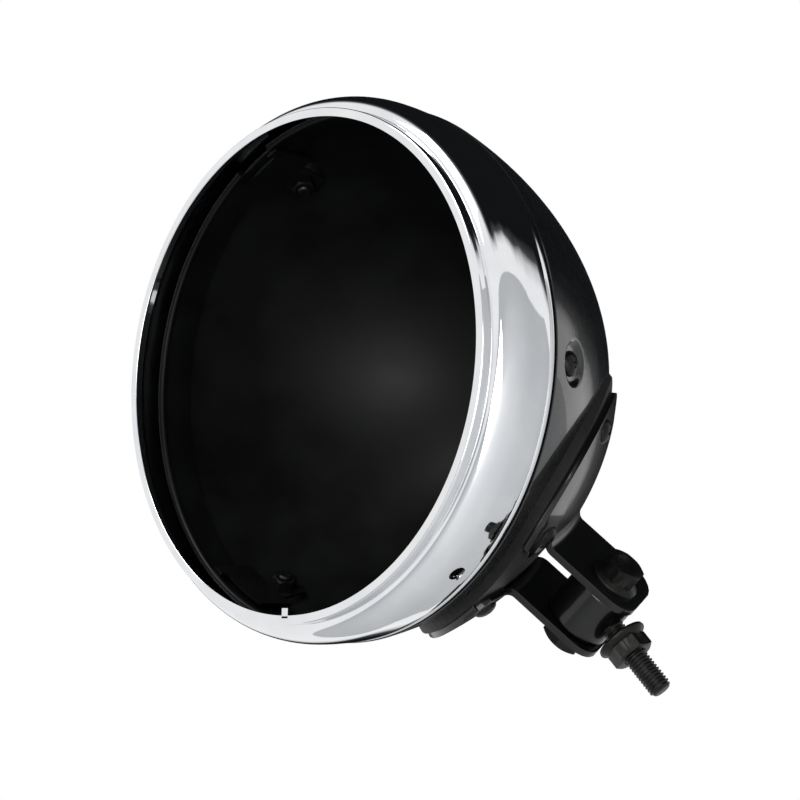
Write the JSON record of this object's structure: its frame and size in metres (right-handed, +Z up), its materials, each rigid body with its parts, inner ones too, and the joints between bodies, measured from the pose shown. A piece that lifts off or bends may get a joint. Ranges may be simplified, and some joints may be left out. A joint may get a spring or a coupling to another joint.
{
  "type": "round motorcycle headlight housing",
  "caption": "Round black motorcycle headlight bowl with a chromed trim ring, two ear brackets and a tilting knuckle with a threaded stud.",
  "frame": {"origin": "centre of the stud at the start of its free thread, under the nut", "axes": "-Y the way the lamp faces, +Z up, the stud leans 8.6 degrees toward the back"},
  "size_m": [0.1904, 0.1264, 0.2391],
  "materials": {
    "chrome": "bright chrome plating",
    "black_paint": "gloss black paint on steel",
    "dark_steel": "black zinc plating",
    "rubber": "smooth black rubber"
  },
  "bodies": {
    "knuckle_body": {"knuckle": "black_paint", "stud": "dark_steel", "stud_nut": "dark_steel"},
    "lamp_head": {"trim_ring": "chrome", "bowl": "black_paint", "wire_grommet": "rubber", "ring_tab": "black_paint", "mount_pad": "rubber", "bracket_right": "black_paint", "bracket_left": "black_paint", "tip_screw_right": "dark_steel", "tip_screw_left": "dark_steel", "inner_screw_right": "dark_steel", "inner_screw_left": "dark_steel", "tip_nut_right": "dark_steel", "tip_nut_left": "dark_steel", "inner_nut_right": "dark_steel", "inner_nut_left": "dark_steel", "clip_top": "black_paint", "clip_left": "black_paint", "clip_right": "black_paint", "clip_screw_top": "dark_steel", "clip_screw_left": "dark_steel", "clip_screw_right": "dark_steel", "clip_nut_top": "dark_steel", "clip_nut_left": "dark_steel", "clip_nut_right": "dark_steel", "tilt_bolt": "dark_steel", "tilt_nut": "dark_steel", "tilt_washer": "dark_steel"}
  },
  "joints": [
    {"name": "tilt", "type": "hinge", "parent": "knuckle_body", "child": "lamp_head", "pos_m": [0, -0.00366, 0.02423], "axis": [1, 0, 0], "range_deg": [-20, 20]}
  ]
}
